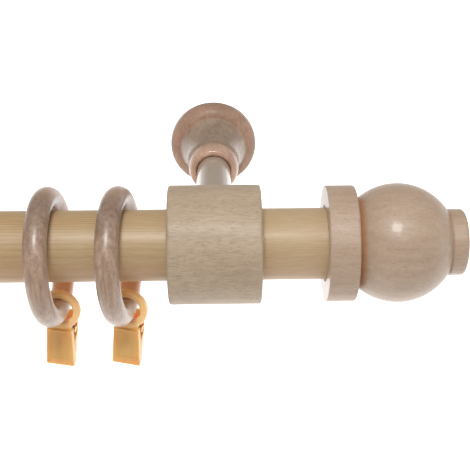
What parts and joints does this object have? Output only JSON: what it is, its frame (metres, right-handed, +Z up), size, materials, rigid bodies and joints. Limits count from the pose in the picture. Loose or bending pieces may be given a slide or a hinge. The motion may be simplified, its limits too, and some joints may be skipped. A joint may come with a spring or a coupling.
{
  "type": "curtain rod",
  "caption": "Round wooden curtain rod held by two sleeve brackets with turned wall roses, ball finials and sliding rings with hanging spring clips.",
  "frame": {"origin": "on the wall face, midway between the two wall fixings, at the height of the rod's axis", "axes": "+X along the rod to the right as seen from the room, +Y into the wall, +Z up"},
  "size_m": [0.794, 0.1715, 0.0787],
  "materials": {
    "rod_pine": "clear satin varnish, straight grain",
    "sleeve_beech": "clear matt varnish, fine flecks",
    "arm_beech": "clear satin varnish",
    "rose_beech": "clear satin varnish, turned",
    "finial_beech": "clear satin varnish, turned",
    "ring_beech": "clear satin varnish, streaky",
    "clip_plastic": "moulded, slightly translucent",
    "spring_steel": "bright strip",
    "fixing_steel": "bright zinc plated"
  },
  "bodies": {
    "rod_and_brackets": {"rod": "rod_pine", "sleeve_left": "sleeve_beech", "arm_left": "arm_beech", "rose_left": "rose_beech", "lock_screw_left": "fixing_steel", "hanger_bolt_left": "fixing_steel", "sleeve_right": "sleeve_beech", "arm_right": "arm_beech", "rose_right": "rose_beech", "lock_screw_right": "fixing_steel", "hanger_bolt_right": "fixing_steel"},
    "finial_left": {"finial_collar_left": "finial_beech", "finial_ball_left": "finial_beech"},
    "finial_right": {"finial_collar_right": "finial_beech", "finial_ball_right": "finial_beech"},
    "ring_1_body": {"ring_1": "ring_beech"},
    "clip_1_body": {"clip_front_1": "clip_plastic", "clip_spring_1": "spring_steel"},
    "clip_jaw_1_body": {"clip_back_1": "clip_plastic"},
    "ring_2_body": {"ring_2": "ring_beech"},
    "clip_2_body": {"clip_front_2": "clip_plastic", "clip_spring_2": "spring_steel"},
    "clip_jaw_2_body": {"clip_back_2": "clip_plastic"},
    "ring_3_body": {"ring_3": "ring_beech"},
    "clip_3_body": {"clip_front_3": "clip_plastic", "clip_spring_3": "spring_steel"},
    "clip_jaw_3_body": {"clip_back_3": "clip_plastic"},
    "ring_4_body": {"ring_4": "ring_beech"},
    "clip_4_body": {"clip_front_4": "clip_plastic", "clip_spring_4": "spring_steel"},
    "clip_jaw_4_body": {"clip_back_4": "clip_plastic"},
    "ring_5_body": {"ring_5": "ring_beech"},
    "clip_5_body": {"clip_front_5": "clip_plastic", "clip_spring_5": "spring_steel"},
    "clip_jaw_5_body": {"clip_back_5": "clip_plastic"},
    "ring_6_body": {"ring_6": "ring_beech"},
    "clip_6_body": {"clip_front_6": "clip_plastic", "clip_spring_6": "spring_steel"},
    "clip_jaw_6_body": {"clip_back_6": "clip_plastic"},
    "ring_7_body": {"ring_7": "ring_beech"},
    "clip_7_body": {"clip_front_7": "clip_plastic", "clip_spring_7": "spring_steel"},
    "clip_jaw_7_body": {"clip_back_7": "clip_plastic"},
    "ring_8_body": {"ring_8": "ring_beech"},
    "clip_8_body": {"clip_front_8": "clip_plastic", "clip_spring_8": "spring_steel"},
    "clip_jaw_8_body": {"clip_back_8": "clip_plastic"}
  },
  "joints": [
    {"name": "finial_pull_left", "type": "slide", "parent": "rod_and_brackets", "child": "finial_left", "axis": [-1, 0, 0], "range_m": [0, 0.012]},
    {"name": "finial_pull_right", "type": "slide", "parent": "rod_and_brackets", "child": "finial_right", "axis": [1, 0, 0], "range_m": [0, 0.012]},
    {"name": "ring_slide_1", "type": "slide", "parent": "rod_and_brackets", "child": "ring_1_body", "axis": [1, 0, 0], "range_m": [-0.01, 0.012]},
    {"name": "clip_swing_1", "type": "hinge", "parent": "ring_1_body", "child": "clip_1_body", "pos_m": [-0.26284, -0.10006, -0.02879], "axis": [-0.1908, 0.9816, 0], "range_deg": [-20, 20]},
    {"name": "clip_open_1", "type": "hinge", "parent": "clip_1_body", "child": "clip_jaw_1_body", "pos_m": [-0.26306, -0.09745, -0.03948], "axis": [0.9813, 0.1907, 0.0262], "range_deg": [0, 12], "stiffness_Nm_per_rad": 0.05, "springref_deg": -22.92},
    {"name": "ring_slide_2", "type": "slide", "parent": "rod_and_brackets", "child": "ring_2_body", "axis": [1, 0, 0], "range_m": [-0.012, 0.0425]},
    {"name": "clip_swing_2", "type": "hinge", "parent": "ring_2_body", "child": "clip_2_body", "pos_m": [-0.23267, -0.10004, -0.02879], "axis": [-0.0349, 0.9994, 0], "range_deg": [-20, 20]},
    {"name": "clip_open_2", "type": "hinge", "parent": "clip_2_body", "child": "clip_jaw_2_body", "pos_m": [-0.23295, -0.09745, -0.03948], "axis": [0.9992, 0.0349, -0.0175], "range_deg": [0, 12], "stiffness_Nm_per_rad": 0.05, "springref_deg": -22.92},
    {"name": "ring_slide_3", "type": "slide", "parent": "rod_and_brackets", "child": "ring_3_body", "axis": [1, 0, 0], "range_m": [-0.0425, 0.062]},
    {"name": "clip_swing_3", "type": "hinge", "parent": "ring_3_body", "child": "clip_3_body", "pos_m": [-0.17225, -0.10012, -0.02877], "axis": [0.0087, 1, 0], "range_deg": [-20, 20]},
    {"name": "clip_open_3", "type": "hinge", "parent": "clip_3_body", "child": "clip_jaw_3_body", "pos_m": [-0.17185, -0.09752, -0.03946], "axis": [0.9994, -0.0087, 0.0349], "range_deg": [0, 12], "stiffness_Nm_per_rad": 0.05, "springref_deg": -22.92},
    {"name": "ring_slide_4", "type": "slide", "parent": "rod_and_brackets", "child": "ring_4_body", "axis": [1, 0, 0], "range_m": [-0.062, 0.1715]},
    {"name": "clip_swing_4", "type": "hinge", "parent": "ring_4_body", "child": "clip_4_body", "pos_m": [-0.09216, -0.10004, -0.02879], "axis": [-0.0958, 0.9954, 0], "range_deg": [-20, 20]},
    {"name": "clip_open_4", "type": "hinge", "parent": "clip_4_body", "child": "clip_jaw_4_body", "pos_m": [-0.09269, -0.09748, -0.03948], "axis": [0.9951, 0.0958, -0.0262], "range_deg": [0, 12], "stiffness_Nm_per_rad": 0.05, "springref_deg": -22.92},
    {"name": "ring_slide_5", "type": "slide", "parent": "rod_and_brackets", "child": "ring_5_body", "axis": [1, 0, 0], "range_m": [-0.1715, 0.053]},
    {"name": "clip_swing_5", "type": "hinge", "parent": "ring_5_body", "child": "clip_5_body", "pos_m": [0.09725, -0.09993, -0.02877], "axis": [-0.1564, 0.9877, 0], "range_deg": [-20, 20]},
    {"name": "clip_open_5", "type": "hinge", "parent": "clip_5_body", "child": "clip_jaw_5_body", "pos_m": [0.09647, -0.09742, -0.03946], "axis": [0.9871, 0.1563, -0.0349], "range_deg": [0, 12], "stiffness_Nm_per_rad": 0.05, "springref_deg": -22.92},
    {"name": "ring_slide_6", "type": "slide", "parent": "rod_and_brackets", "child": "ring_6_body", "axis": [1, 0, 0], "range_m": [-0.053, 0.0515]},
    {"name": "clip_swing_6", "type": "hinge", "parent": "ring_6_body", "child": "clip_6_body", "pos_m": [0.16817, -0.09991, -0.02879], "axis": [0.1736, 0.9848, 0], "range_deg": [-20, 20]},
    {"name": "clip_open_6", "type": "hinge", "parent": "clip_6_body", "child": "clip_jaw_6_body", "pos_m": [0.1689, -0.0974, -0.03948], "axis": [0.9845, -0.1736, 0.0262], "range_deg": [0, 12], "stiffness_Nm_per_rad": 0.05, "springref_deg": -22.92},
    {"name": "ring_slide_7", "type": "slide", "parent": "rod_and_brackets", "child": "ring_7_body", "axis": [1, 0, 0], "range_m": [-0.0515, 0.009]},
    {"name": "clip_swing_7", "type": "hinge", "parent": "ring_7_body", "child": "clip_7_body", "pos_m": [0.23767, -0.10013, -0.02873], "axis": [0.1736, 0.9848, 0], "range_deg": [-20, 20]},
    {"name": "clip_open_7", "type": "hinge", "parent": "clip_7_body", "child": "clip_jaw_7_body", "pos_m": [0.23753, -0.09747, -0.03941], "axis": [0.9833, -0.1734, -0.0558], "range_deg": [0, 12], "stiffness_Nm_per_rad": 0.05, "springref_deg": -22.92},
    {"name": "ring_slide_8", "type": "slide", "parent": "rod_and_brackets", "child": "ring_8_body", "axis": [1, 0, 0], "range_m": [-0.009, 0.0085]},
    {"name": "clip_swing_8", "type": "hinge", "parent": "ring_8_body", "child": "clip_8_body", "pos_m": [0.26466, -0.1002, -0.02873], "axis": [0.225, 0.9744, 0], "range_deg": [-20, 20]},
    {"name": "clip_open_8", "type": "hinge", "parent": "clip_8_body", "child": "clip_jaw_8_body", "pos_m": [0.26466, -0.09753, -0.03941], "axis": [0.9729, -0.2246, -0.0558], "range_deg": [0, 12], "stiffness_Nm_per_rad": 0.05, "springref_deg": -22.92}
  ]
}
